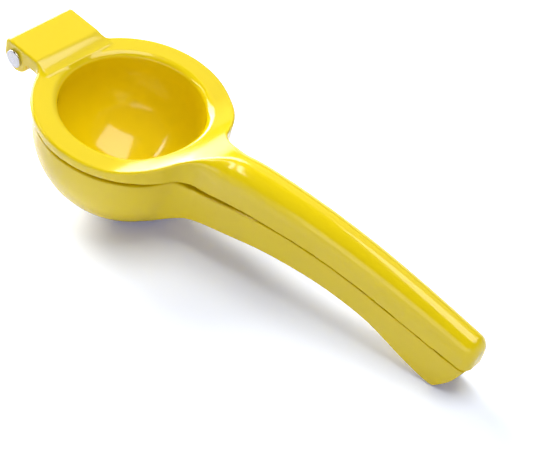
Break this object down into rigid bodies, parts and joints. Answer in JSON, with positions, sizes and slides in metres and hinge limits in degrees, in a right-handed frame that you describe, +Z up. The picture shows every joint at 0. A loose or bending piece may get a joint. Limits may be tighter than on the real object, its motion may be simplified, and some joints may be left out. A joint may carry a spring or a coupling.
{
  "type": "lemon squeezer",
  "caption": "Hinged hand squeezer for lemons in yellow enamelled cast metal, with a solid press bowl that swings into a strainer cup on a steel pin.",
  "frame": {"origin": "middle of the bounding box's bottom, on the surface that the closed squeezer rests on", "axes": "+X runs from the hinge to the tip of the handles, +Z is up, and +Y completes the right-handed frame; the tool is symmetric about the XZ plane but for the pin's ends"},
  "size_m": [0.2252, 0.08, 0.0656],
  "materials": {
    "enamel_yellow": "glossy yellow enamel over cast aluminium",
    "pin_steel": "bright turned steel"
  },
  "bodies": {
    "cup_lever": {"cup_lever": "enamel_yellow"},
    "press_lever": {"press_lever": "enamel_yellow", "hinge_pin": "pin_steel"}
  },
  "joints": [
    {"name": "hinge", "type": "hinge", "parent": "cup_lever", "child": "press_lever", "pos_m": [-0.10622, 0, 0.0582], "axis": [0, -1, 0], "range_deg": [0, 120]}
  ]
}
